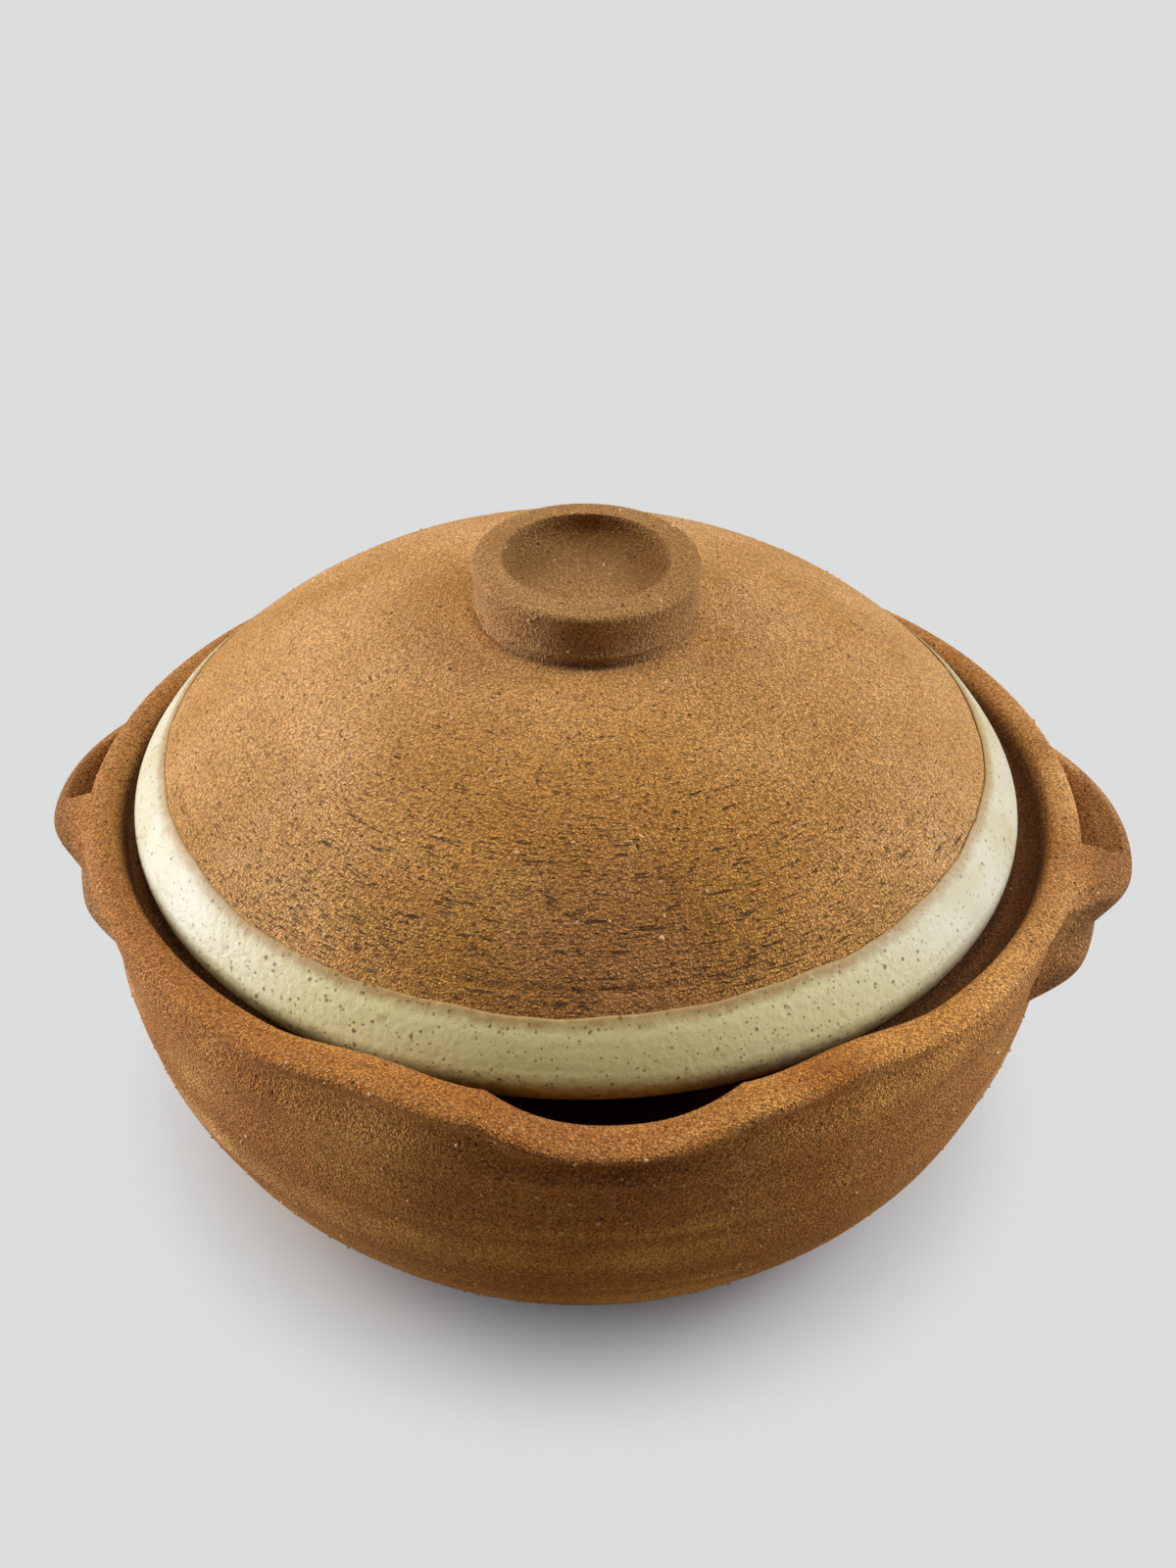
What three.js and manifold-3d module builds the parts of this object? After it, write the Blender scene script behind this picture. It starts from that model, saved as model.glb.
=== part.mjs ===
// Donabe: a wheel-thrown stoneware cooking pot with a domed lid.
// Millimetres, +Z up. The origin is the middle of the flat base, the handles lie
// along X and the pouring lip looks along -Y.
import * as THREE from 'three';
import { mergeVertices } from 'three/addons/utils/BufferGeometryUtils.js';
import Module from 'manifold-3d';

const wasm = await Module();
wasm.setup();

// Pot wall
const BASE_RADIUS = 80;
const NECK_LENGTH = 28;
const NECK_FLARE = 0.7;
const WALL = 8;
const FLOOR = 9;
const WALL_FULLNESS = 0.67;

// Rolled rim
const RIM_HEIGHT = 109;
const RIM_RADIUS = 133;
const RIM_OVERHANG = 4.5;
const RIM_THICKNESS = 10.5;
const RIM_ROLL = 4.5;
const RIM_TILT = 4;
const RIM_OVAL = 1.5;
const RIM_LEAN = 3.2;

// Gallery: the ledge inside the rim that carries the lid
const GALLERY_DEPTH = 7;
const GALLERY_WIDTH = 18;
const GALLERY_THICKNESS = 6.5;
const GALLERY_SLOPE = 8;
const GALLERY_NOSE = 1.5;

// Pouring lip pressed into the rim
const LIP_TURN = 3.5;
const LIP_LENGTH = 62;
const LIP_DROP = 8;
const LIP_FULLNESS = 2.5;
const LIP_PULL = 1;
const LEDGE_PRESS = 0.4;
const SHOULDER_LENGTH = 60;
const SHOULDER_PINCH = 2;
const SHOULDER_RISE = 1.2;

// Strap handles
const HANDLE_LENGTH = 78;
const LEFT_REACH = 10.5;
const RIGHT_REACH = 14.8;
const BOW_FULLNESS = 2.4;
const BOW_SKEW = 0.28;
const HANDLE_BURIED = 4;
const HANDLE_HEIGHT = 27;
const HANDLE_THICKNESS = 6.5;
const HANDLE_LEAN = 3;
const HANDLE_TOP_DROP = 3.5;
const LEFT_TURN = 1.5;
const RIGHT_TURN = 3;
const UPPER_RIDGE = 2.8;
const LOWER_RIDGE = 2;
const HANDLE_CLEARANCE = 0.3;
// Corners of the strap's section: shares of the height down, the thickness, the upper and the lower ridge.
const STRAP_CORNERS = [
  [0.08, 0, 0, 0],
  [0, 0.5, 0, 0],
  [0.06, 0.9, 0.7, 0],
  [0.2, 1, 1, 0],
  [0.5, 1, 0, 0],
  [0.78, 1, 0, 1],
  [0.95, 0.8, 0, 0],
  [1, 0.4, 0, 0],
  [0.92, -1, 0, 0],
  [0.5, -0.35, 0, 0],
];

// Lid
const LID_GAP = 4;
const LID_SIDEWAYS = -2;
const LID_BACKWARD = 2;
const LID_ROLL = 6.5;
const ROLL_TOP = 38;
const LID_SEAT = 4.5;
const LID_WALL = 7;
const DOME_HEIGHT = 48.5;
const DOME_ROUND = 2.8;
const DOME_SOFTNESS = 0.9;

// Ring knob
const KNOB_RADIUS = 29;
const KNOB_FOOT_RADIUS = 27.8;
const KNOB_HEIGHT = 15.5;
const STEM_SHARE = 0.25;
const STEM_FLARE = 0.6;
const KNOB_ROUND = 2.6;
const KNOB_SIDEWAYS = 1.6;
const RECESS_RADIUS = 20.8;
const RECESS_DEPTH = 7;

// Glaze
const GLAZE = 0.7;
const GLAZE_GAP = 0.1;
const BAND_WIDTH = 8;
const BAND_UNDER = 45;

// Facets
const POT_SEGMENTS = 64;
const LID_SEGMENTS = 48;
const WALL_STEPS = 6;
const DOME_STEPS = 6;
const ROUND_STEPS = 6;
const SMALL_STEPS = 3;
const STRAP_STEPS = 18;
const STRAP_CORNER_STEPS = 2;

const radians = THREE.MathUtils.degToRad;
const point = (r, z) => new THREE.Vector2(r, z);
const reversed = (points) => [...points].reverse();

// Sizes that follow from the driving dimensions
const BELLY_RADIUS = RIM_RADIUS - RIM_OVERHANG;
const BELLY_HEIGHT = RIM_HEIGHT - NECK_LENGTH;
const LEDGE_HEIGHT = RIM_HEIGHT - GALLERY_DEPTH;
const LEDGE_CORNER = RIM_RADIUS - RIM_THICKNESS;
const RIM_MIDDLE = RIM_RADIUS - RIM_THICKNESS / 2;
const NOSE_RADIUS = LEDGE_CORNER - GALLERY_WIDTH;
const INNER_RADIUS = BELLY_RADIUS - WALL;
const INNER_FOOT = BASE_RADIUS - WALL;
const INNER_TOP = LEDGE_HEIGHT - GALLERY_THICKNESS - GALLERY_SLOPE;
const LID_RADIUS = LEDGE_CORNER - LID_GAP;
const CLAY_EDGE = LID_RADIUS - GLAZE - GLAZE_GAP;
const ROLL_CENTRE = point(CLAY_EDGE - LID_ROLL, LEDGE_HEIGHT + LID_ROLL);
const SEAT_INNER = ROLL_CENTRE.x - LID_SEAT;
const LIP_DIRECTION = radians(LIP_TURN - 90);
const CROWN_RADIUS = KNOB_FOOT_RADIUS + Math.abs(KNOB_SIDEWAYS);

const materials = {
  clay: { color: 0xa9754a, roughness: 0.92, metalness: 0 },
  lidClay: { color: 0xb98a57, roughness: 0.92, metalness: 0 },
  handleClay: { color: 0xab7f51, roughness: 0.88, metalness: 0 },
  glaze: { color: 0xe4dcc0, roughness: 0.35, metalness: 0 },
};

// A named sub-part with a finish of its own.
function part(name, geometry, finish) {
  const mesh = new THREE.Mesh(geometry, new THREE.MeshStandardMaterial(finish));
  mesh.name = name;
  return mesh;
}

// Only positions, with shared corners merged.
function welded(geometry) {
  geometry.deleteAttribute('normal');
  geometry.deleteAttribute('uv');
  return mergeVertices(geometry);
}

// A profile of (radius, height) points turned about Z. It runs out along the underside and back over the top.
function turned(profile, segments) {
  const lathe = new THREE.LatheGeometry(profile, segments, radians(LIP_TURN));
  lathe.rotateX(Math.PI / 2);
  return welded(lathe);
}

function solid(geometry) {
  const vertProperties = new Float32Array(geometry.attributes.position.array);
  const triVerts = new Uint32Array(geometry.index.array);
  return new wasm.Manifold(new wasm.Mesh({ numProp: 3, vertProperties, triVerts }));
}

function geometryOf(body) {
  const mesh = body.getMesh();
  const geometry = new THREE.BufferGeometry();
  geometry.setAttribute('position', new THREE.BufferAttribute(mesh.vertProperties, 3));
  geometry.setIndex(new THREE.BufferAttribute(mesh.triVerts, 1));
  return geometry;
}

// A thrown wall from its foot to its full radius: it leaves the foot flat and arrives upright.
function wallCurve(foot, full, low, high, steps) {
  return Array.from({ length: steps + 1 }, (_, i) => {
    const t = (i / steps) ** 2;
    const share = (1 - (1 - t) ** 2) ** WALL_FULLNESS;
    return point(foot + (full - foot) * share, low + (high - low) * t);
  });
}

function outerWall(clearance) {
  const wall = wallCurve(BASE_RADIUS, BELLY_RADIUS, 0, BELLY_HEIGHT, WALL_STEPS);
  const rimFoot = RIM_HEIGHT - 2 * RIM_ROLL;
  const neck = new THREE.QuadraticBezierCurve(
    point(BELLY_RADIUS, BELLY_HEIGHT),
    point(BELLY_RADIUS + NECK_FLARE, rimFoot - RIM_ROLL),
    point(RIM_RADIUS, RIM_HEIGHT - RIM_ROLL),
  );
  const points = [...wall, ...neck.getPoints(SMALL_STEPS).slice(1)];
  return points.map((p) => point(p.x + clearance, p.y));
}

// The rolled crest, from the outside up to its top or over to the ledge side.
function rimCrest(clearance, end) {
  const half = RIM_THICKNESS / 2 + clearance;
  const crest = new THREE.EllipseCurve(
    RIM_MIDDLE, RIM_HEIGHT - RIM_ROLL, half, RIM_ROLL + clearance, 0, end,
  );
  return crest.getPoints(ROUND_STEPS).slice(1);
}

function innerWall(coat) {
  return wallCurve(INNER_FOOT - coat, INNER_RADIUS - coat, FLOOR + coat, INNER_TOP, WALL_STEPS);
}

// Depth of a rounded dent or swelling at some distance from its middle: 1 there, 0 at its ends.
function swelling(distance, length) {
  const share = Math.min(Math.abs(distance) / (length / 2), 1);
  return Math.cos(share * Math.PI / 2) ** 2;
}

// The hand-shaped rim. It stands a little higher in front than at the back, and its inner edge is wider at
// the handles and narrower in front, while the ledge stays level. At the pouring lip the rim, the ledge and
// the neck above the lining are pressed down and outward, and beside it the rim is pinched in and raised.
function shapeRim(geometry) {
  const position = geometry.attributes.position;
  const shoulderPlace = (LIP_LENGTH + SHOULDER_LENGTH) / 2;
  const { clamp, lerp, smoothstep } = THREE.MathUtils;
  for (let i = 0; i < position.count; i += 1) {
    const [x, y, z] = [position.getX(i), position.getY(i), position.getZ(i)];
    const radius = Math.max(Math.hypot(x, y), 1);
    const away = Math.abs(Math.atan2(y, x) - LIP_DIRECTION) * RIM_RADIUS;
    const lip = 1 - Math.min(away / (LIP_LENGTH / 2), 1) ** LIP_FULLNESS;
    const shoulder = swelling(away - shoulderPlace, SHOULDER_LENGTH);
    const upward = smoothstep(z, INNER_TOP, RIM_HEIGHT);
    const crest = smoothstep(z, LEDGE_HEIGHT, RIM_HEIGHT);
    const inner = clamp((RIM_RADIUS - radius) / RIM_THICKNESS, 0, 1);
    const forward = Math.max(-y / radius, 0);
    const oval = inner * crest * (RIM_OVAL * (x / radius) ** 2 - RIM_LEAN * forward ** 2);
    const pressed = radius > NOSE_RADIUS ? (LIP_PULL * lip - SHOULDER_PINCH * shoulder) * upward : 0;
    const scale = 1 + (oval + pressed) / radius;
    const outside = radius > RIM_MIDDLE;
    const settle = outside ? upward : crest;
    const press = outside ? upward : lerp(crest, upward, LEDGE_PRESS);
    const lowered = LIP_DROP * lip * press + RIM_TILT * (y / radius) * settle;
    position.setXYZ(i, x * scale, y * scale, z - lowered + SHOULDER_RISE * shoulder * crest);
  }
  return geometry;
}

function potBowl() {
  const noseHeight = LEDGE_HEIGHT - GALLERY_THICKNESS;
  const gallery = [
    point(LEDGE_CORNER, LEDGE_HEIGHT),
    point(NOSE_RADIUS + GALLERY_NOSE, LEDGE_HEIGHT),
    point(NOSE_RADIUS, LEDGE_HEIGHT - GALLERY_NOSE),
    point(NOSE_RADIUS, noseHeight + GALLERY_NOSE),
    point(NOSE_RADIUS + GALLERY_NOSE, noseHeight),
  ];
  const outside = [...outerWall(0), ...rimCrest(0, Math.PI)];
  const profile = [point(0, 0), ...outside, ...gallery, ...reversed(innerWall(0)), point(0, FLOOR)];
  return shapeRim(turned(profile, POT_SEGMENTS));
}

function potLining() {
  const outside = innerWall(GLAZE_GAP);
  const inside = innerWall(GLAZE_GAP + GLAZE);
  const profile = [point(0, outside[0].y), ...outside, ...reversed(inside), point(0, inside[0].y)];
  return turned(profile, POT_SEGMENTS);
}

// The line of a handle's inner top edge in plan: both ends lie in the wall, and it bows out most in front of
// its middle.
class HandleBow extends THREE.Curve {
  constructor(middle, reach) {
    super();
    this.middle = middle;
    this.reach = reach;
    this.skew = Math.cos(middle) * BOW_SKEW;
  }

  getPoint(t, target = new THREE.Vector3()) {
    const along = 1 - 2 * t;
    const angle = this.middle + along * HANDLE_LENGTH / 2 / RIM_RADIUS;
    const bow = 1 - Math.abs(along + this.skew * (1 - along ** 2)) ** BOW_FULLNESS;
    const thick = HANDLE_THICKNESS + UPPER_RIDGE;
    const radius = RIM_RADIUS - thick - HANDLE_BURIED + (this.reach + HANDLE_BURIED) * bow;
    return target.set(radius * Math.cos(angle), radius * Math.sin(angle), RIM_HEIGHT - HANDLE_TOP_DROP);
  }
}

// A strap's section: x runs down from its top edge and y runs outward, with two ridges and a groove between.
function strapSection() {
  const corners = STRAP_CORNERS.map(([down, thick, upper, lower]) => {
    const out = thick * HANDLE_THICKNESS + upper * UPPER_RIDGE + lower * LOWER_RIDGE;
    return new THREE.Vector3(down * HANDLE_HEIGHT, out - HANDLE_LEAN * down, 0);
  });
  const closed = new THREE.CatmullRomCurve3(corners, true);
  const points = closed.getPoints(STRAP_CORNER_STEPS * corners.length).slice(0, -1);
  return new THREE.Shape(points.map((p) => point(p.x, p.y)));
}

// A strap bent along its bow, fitted to the pot's wall.
function handle(middle, reach) {
  const strap = new THREE.ExtrudeGeometry(strapSection(), {
    steps: STRAP_STEPS,
    bevelEnabled: false,
    extrudePath: new HandleBow(middle, reach),
  });
  const filled = [...outerWall(HANDLE_CLEARANCE), ...rimCrest(HANDLE_CLEARANCE, Math.PI / 2)];
  const potProfile = [point(0, 0), ...filled, point(0, RIM_HEIGHT + HANDLE_CLEARANCE)];
  const pot = shapeRim(turned(potProfile, POT_SEGMENTS));
  return geometryOf(solid(welded(strap)).subtract(solid(pot)));
}

// Height of a dome's surface above its edge at a radius.
function domeRise(radius, edge, height) {
  const share = Math.min(radius / edge, 1);
  return height * (1 - share ** DOME_ROUND) ** DOME_SOFTNESS;
}

// A dome from an outer to an inner radius.
function domeCurve(edge, low, height, from, to, steps) {
  return Array.from({ length: steps + 1 }, (_, i) => {
    const radius = from + (to - from) * i / steps;
    return point(radius, low + domeRise(radius, edge, height));
  });
}

// The lid's rolled edge from its seat round to where the dome leaves it.
function lidRoll(coat, from, to, steps) {
  const size = LID_ROLL + coat;
  const roll = new THREE.EllipseCurve(ROLL_CENTRE.x, ROLL_CENTRE.y, size, size, radians(from), radians(to));
  return roll.getPoints(steps);
}

const rollEnd = lidRoll(0, -90, ROLL_TOP, 1)[1];
const crownHeight = rollEnd.y + domeRise(CROWN_RADIUS, rollEnd.x, DOME_HEIGHT);

// The coated part of the dome, which the band and the clay under it share.
function bandCurve(coat) {
  const edge = rollEnd.x;
  const away = radians(ROLL_TOP);
  return domeCurve(edge, rollEnd.y, DOME_HEIGHT, edge, edge - BAND_WIDTH, SMALL_STEPS)
    .slice(1)
    .map((p) => point(p.x + coat * Math.cos(away), p.y + coat * Math.sin(away)));
}

function underside(coat) {
  const edge = SEAT_INNER - coat;
  const height = crownHeight - LID_WALL - LEDGE_HEIGHT;
  return domeCurve(edge, LEDGE_HEIGHT, height - coat, 0, edge, DOME_STEPS);
}

function lidDome() {
  const edge = rollEnd.x;
  const dome = domeCurve(edge, rollEnd.y, DOME_HEIGHT, edge - BAND_WIDTH, CROWN_RADIUS, DOME_STEPS).slice(1);
  const bareRoll = lidRoll(0, -90, -BAND_UNDER, SMALL_STEPS);
  const coatedRoll = lidRoll(0, -BAND_UNDER, ROLL_TOP, SMALL_STEPS).slice(1);
  const edgeCurve = [...bareRoll, ...coatedRoll, ...bandCurve(0)];
  const profile = [...underside(0), ...edgeCurve, ...dome, point(0, crownHeight)];
  return turned(profile, LID_SEGMENTS);
}

function lidGlazeBand() {
  const coated = (coat) => [...lidRoll(coat, -BAND_UNDER, ROLL_TOP, SMALL_STEPS), ...bandCurve(coat)];
  const outside = coated(GLAZE_GAP + GLAZE);
  const inside = coated(GLAZE_GAP);
  return turned([...outside, ...reversed(inside), outside[0]], LID_SEGMENTS);
}

function lidLining() {
  return turned([...underside(GLAZE_GAP + GLAZE), ...reversed(underside(GLAZE_GAP))], LID_SEGMENTS);
}

// A ring knob: a short stem, a rounded ring and a dished top.
function lidKnob() {
  const top = crownHeight + KNOB_HEIGHT;
  const stemTop = KNOB_FOOT_RADIUS + STEM_FLARE;
  const outerRound = new THREE.EllipseCurve(
    KNOB_RADIUS - KNOB_ROUND, top - KNOB_ROUND, KNOB_ROUND, KNOB_ROUND, 0, Math.PI / 2,
  );
  const dish = new THREE.EllipseCurve(0, top, RECESS_RADIUS, RECESS_DEPTH, 0, -Math.PI / 2, true);
  const profile = [
    point(0, crownHeight),
    point(KNOB_FOOT_RADIUS, crownHeight),
    point(stemTop, crownHeight + KNOB_HEIGHT * STEM_SHARE),
    ...outerRound.getPoints(SMALL_STEPS),
    ...dish.getPoints(ROUND_STEPS),
  ];
  return turned(profile, LID_SEGMENTS);
}

const pot = new THREE.Group();
pot.add(part('pot_bowl', potBowl(), materials.clay));
pot.add(part('pot_lining', potLining(), materials.glaze));
pot.add(part('left_handle', handle(Math.PI + radians(LEFT_TURN), LEFT_REACH), materials.handleClay));
pot.add(part('right_handle', handle(-radians(RIGHT_TURN), RIGHT_REACH), materials.handleClay));

const lid = new THREE.Group();
lid.position.set(LID_SIDEWAYS, LID_BACKWARD, 0);
lid.add(part('lid_dome', lidDome(), materials.lidClay));
const knob = part('lid_knob', lidKnob(), materials.lidClay);
knob.position.x = KNOB_SIDEWAYS;
lid.add(knob);
lid.add(part('lid_glaze_band', lidGlazeBand(), materials.glaze));
lid.add(part('lid_lining', lidLining(), materials.glaze));

const donabe = new THREE.Group();
donabe.add(pot, lid);

export default donabe;
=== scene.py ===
"""Donabe clay pot: a thrown stoneware pot with luted strap handles, and a domed lid with a glazed edge.

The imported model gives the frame. Sizes here are in millimetres and repeat the part's own;
meshes are made in metres, +Z up, with the pouring lip towards -Y.
"""

import math

import bpy
import numpy as np
from mathutils import Matrix, Vector


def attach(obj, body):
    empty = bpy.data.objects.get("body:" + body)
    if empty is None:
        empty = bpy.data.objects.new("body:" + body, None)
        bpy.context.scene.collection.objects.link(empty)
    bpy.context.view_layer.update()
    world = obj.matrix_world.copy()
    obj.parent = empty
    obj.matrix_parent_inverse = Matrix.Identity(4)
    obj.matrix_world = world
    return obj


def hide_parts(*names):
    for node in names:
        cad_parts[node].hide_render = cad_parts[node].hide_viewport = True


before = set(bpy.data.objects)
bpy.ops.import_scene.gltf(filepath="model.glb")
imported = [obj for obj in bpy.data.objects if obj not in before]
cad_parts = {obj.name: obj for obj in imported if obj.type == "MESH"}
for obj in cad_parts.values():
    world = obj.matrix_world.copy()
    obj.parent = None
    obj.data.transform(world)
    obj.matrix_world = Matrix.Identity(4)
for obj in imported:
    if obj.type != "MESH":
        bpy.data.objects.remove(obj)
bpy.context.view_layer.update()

MM = 0.001

# Pot
BASE_RADIUS = 80
RIM_RADIUS = 133
RIM_HEIGHT = 109
RIM_THICKNESS = 10.5
RIM_MIDDLE = RIM_RADIUS - RIM_THICKNESS / 2
RIM_ROLL = 4.5
RIM_SQUARENESS = 2.6
RIM_TILT = 4
RIM_OVAL = 1.5
RIM_LEAN = 3.2
BELLY_RADIUS = RIM_RADIUS - 4.5
BELLY_HEIGHT = RIM_HEIGHT - 28
NECK_FLARE = 0.7
WALL = 8
FLOOR = 9
WALL_FULLNESS = 0.67

# Hollow that fingers left under the front of the rim
RIM_HOLLOW = 4
RIM_HOLLOW_HEIGHT = RIM_HEIGHT - 7
RIM_HOLLOW_SPAN = 14

# Gallery ledge that carries the lid
LEDGE_HEIGHT = RIM_HEIGHT - 7
LEDGE_CORNER = RIM_RADIUS - RIM_THICKNESS
LEDGE_FILLET = 1.2
NOSE_RADIUS = LEDGE_CORNER - 18
GALLERY_THICKNESS = 6.5
GALLERY_NOSE = 1.5
INNER_RADIUS = BELLY_RADIUS - WALL
INNER_FOOT = BASE_RADIUS - WALL
INNER_TOP = LEDGE_HEIGHT - GALLERY_THICKNESS - 8

# Pouring lip, with a shoulder on either side, a hollow under it and a gap behind it
LIP_DIRECTION = math.radians(3.5 - 90)
LIP_LENGTH = 62
LIP_DROP = 8
LIP_FULLNESS = 2.5
LIP_PULL = 1
LIP_GAP = 3.5
LIP_HOLLOW = 5
LIP_HOLLOW_HEIGHT = RIM_HEIGHT - 9
LIP_HOLLOW_SPAN = 17
LIP_HOLLOW_LENGTH = 1.9 * LIP_LENGTH
SHOULDER_LENGTH = 60
SHOULDER_PINCH = 2
SHOULDER_RISE = 1.2

# Strap handles: how far each stands out of the wall, and the directions of its back end, its tip, the notch
# in front of the tip and its front end, in degrees from the side towards the front
HANDLE_TOP = RIM_HEIGHT - 3.5
HANDLE_HEIGHT = 27
HANDLE_ROOT = HANDLE_HEIGHT + 1.5
LEFT_REACH = 10.2
LEFT_PLACES = (-16.0, 4.5, 12.0, 19.5)
RIGHT_REACH = 14.2
RIGHT_PLACES = (-13.5, 11.5, 20.0, 27.0)
STRAP_CREST = 3.4
POCKET_DEPTH = 15

# Stations along a handle: those of the four directions, its ends with the degrees that they run on into the
# wall, and the stretches where its pocket opens and closes
PLACE_STATIONS = (-1, 0.4, 0.75, 1)
BACK_END = -1.04
BACK_TUCK = 0.6
FRONT_END = 1.06
FRONT_TUCK = 0.8
POCKET_OPENS = (-0.62, -0.1)
POCKET_CLOSES = (0.34, 0.43)

# Stations of a handle's two ridges, with the share of its reach that they stand out of the wall there
UPPER_RIDGE = (
    (BACK_END, -0.2), (-0.95, -0.05), (-0.75, 0.2), (-0.5, 0.5), (-0.2, 0.78), (0.1, 0.94), (0.4, 1.0),
    (0.56, 0.95), (0.68, 0.76), (0.76, 0.48), (0.86, 0.1), (0.95, -0.2), (FRONT_END, -0.3),
)
LOWER_RIDGE = (
    (BACK_END, -0.2), (-0.9, -0.02), (-0.6, 0.2), (-0.2, 0.42), (0.1, 0.55), (0.4, 0.64),
    (0.65, 0.7), (0.8, 0.66), (0.9, 0.42), (0.98, 0.1), (FRONT_END, -0.25),
)

# Lid
LID_PLACE = (-2.0, 2.0)
LID_ROLL = 6.5
ROLL_TOP = math.radians(38)
CLAY_EDGE = LEDGE_CORNER - 4 - 0.8
ROLL_CENTRE = (CLAY_EDGE - LID_ROLL, LEDGE_HEIGHT + LID_ROLL)
SEAT_INNER = ROLL_CENTRE[0] - 4.5
ROLL_END = (ROLL_CENTRE[0] + LID_ROLL * math.cos(ROLL_TOP), ROLL_CENTRE[1] + LID_ROLL * math.sin(ROLL_TOP))
LID_WALL = 7
DOME_HEIGHT = 48.5
DOME_ROUND = 2.8
DOME_SOFTNESS = 0.9
GROOVE_RADIUS = 105.4
GROOVE_WIDTH = 1.3
GROOVE_DEPTH = 0.3

# Glaze coats; the lid's band thins out over a share of its width at its lower and its upper edge
GLAZE = 0.7
GLAZE_GAP = 0.1
BAND_WIDTH = 8
BAND_UNDER = math.radians(45)
BAND_SLOPE = math.radians(52)
BAND_SPACING = 0.5
LOWER_FEATHER = 0.06
UPPER_FEATHER = 0.25
EDGE_COAT = 0.04

# Knob; the points of its side, from the narrow foot over a ridge to the top edge, are out of its radius and
# up from the crown
KNOB_SHIFT = 1.6
CROWN_RADIUS = 27.8 + KNOB_SHIFT
KNOB_RADIUS = 29
KNOB_HEIGHT = 15.5
KNOB_SINK = 0.4
KNOB_EDGE = 1.5
KNOB_TOP_RISE = 0.6
KNOB_SIDE = ((-1.1, 2.6), (0.0, 3.5), (-0.7, 4.8), (-0.5, 9.0), (0.0, KNOB_HEIGHT - 2.6))
RECESS_RADIUS = 21.4
RECESS_DEPTH = 7
RECESS_EDGE = 0.4
RECESS_SQUARENESS = 5.0

# Segments round the axis, how near points are welded, and the radius in metres of the path that profiles are
# swept round
POT_SEGMENTS = 360
DOME_SEGMENTS = 320
BAND_SEGMENTS = 400
KNOB_SEGMENTS = 220
LINING_SEGMENTS = 192
WELD = 0.005
PATH_RADIUS = 0.1

# Grains strewn on the clay: how many to a square metre, half their width, how far they are sunk in, the
# handles' share of them, a full turn in radians, and the seeds of both scatters
GRAIN_DENSITY = 9000
GRAIN_SMALLEST = 0.22
GRAIN_LARGEST = 0.8
GRAIN_SINK = 0.16
HANDLE_GRAINS = 0.3
FULL_TURN = 6.28
POT_SEED = 11
LID_SEED = 23

# Light and dark tints of the clays, tints of what lies in and on them, and the share of yellower, brighter
# glaze in front, which is partly painted light
POT_TINTS = ("#f3bb75", "#c08242")
HANDLE_TINTS = ("#c9955d", "#a57039")
LID_TINTS = ("#e4b276", "#cb9753")
KNOB_TINTS = ("#c4965f", "#ad8048")
GROG_TINTS = ("#e6c394", "#b98a5c")
PALE_GRAIN = "#d8bc97"
# Painted shade of pits and torn marks
TORN_PIT_SHADE = "#40260f"
GLAZE_TINTS = ("#c2b98e", "#d2ccb2")
# Painted light: the glaze brighter and yellower in front, partly a yellower glaze
THICK_AND_LIT_GLAZE = "#f6eaa6"
# Ochre where the glaze thins out, also used as painted shade under the lid's roll
THIN_AND_SHADED_GLAZE = "#a98346"
FRONT_THICK_AND_LIT = 0.7

# Patches darkened by fire colour and by painted shade, low on the lid's front and on the pouring lip, which
# face away from the lamps: their middles, and how far the orange round them, also partly painted shade,
# reaches
LID_SCORCH_AND_SHADE = ((8.0, -96.0, 124.0), 95.0)
LIP_SCORCH_AND_SHADE = ((8.0, -127.0, 103.0), 150.0)
SCORCH_AND_SHADE_REACH = 42.0
SCORCH_AND_SHADE_CORE = 8.0
FLUSH_AND_SHADE_CORE = 0.4

# Factors of red, green and blue for the orange and the dark patches, fire colour with painted shade, and for
# the painted shade in the gallery and the dish, with its share in the dish
FLUSH_AND_SHADE_TINT = (1.0, 0.93, 0.66, 1.0)
SCORCH_AND_SHADE_TINT = (0.74, 0.65, 0.7, 1.0)
PAINTED_SHADE_TINT = (0.34, 0.29, 0.25, 1.0)
DISH_PAINTED_SHADE = 0.45

# Clay surface: heights of its features, how strongly they show (pits and marks as painted shade), how far the
# tooth darkens the dips with painted shade and brightens the tips with the sand's paler grains and painted
# highlight, and the radius at which marks round the axis have their named length
TOOTH_HEIGHT = 0.6
GRAIN_HEIGHT = 0.25
MARK_DEPTH = 0.9
GRAIN_SHOW = 0.55
MARK_SHOW = 0.8
DIP_SHADE = (0.53, 0.59, 0.66)
TIP_SHINE = (0.88, 0.88, 0.85)
MARK_RADIUS = 100

# Stage: tints, the table's width and the distances between which the pot's shade on it fades, in metres, and
# the point that the lamps face
BACKDROP = "#dcdddd"
TABLE_TINT = "#d2d3d3"
TABLE_BOUNCE = "#a69a80"
ROOM_TINT = "#ffe6b8"
ROOM_STRENGTH = 0.02
TABLE_WIDTH = 12
SHADE_CORE = 0.085
SHADE_REACH = 0.145
LAMP_AIM = (0, 0, 0.08)

# Camera: focal length and height of the photo in pixels, sensor in millimetres, and place in metres
FOCAL_PIXELS = 1800
PHOTO_HEIGHT = 1600
SENSOR = 36
CAMERA_PLACE = (-0.0012937, -0.384384, 0.398772)
CAMERA_PITCH = math.radians(37.4067)
CAMERA_YAW = math.radians(0.338)
CAMERA_ROLL = math.radians(1.0)

# Settings of a node that lays a colour over another one, and of one that tints it
COLOUR = {"data_type": "RGBA"}
TINTED = {"data_type": "RGBA", "blend_type": "MULTIPLY"}


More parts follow.
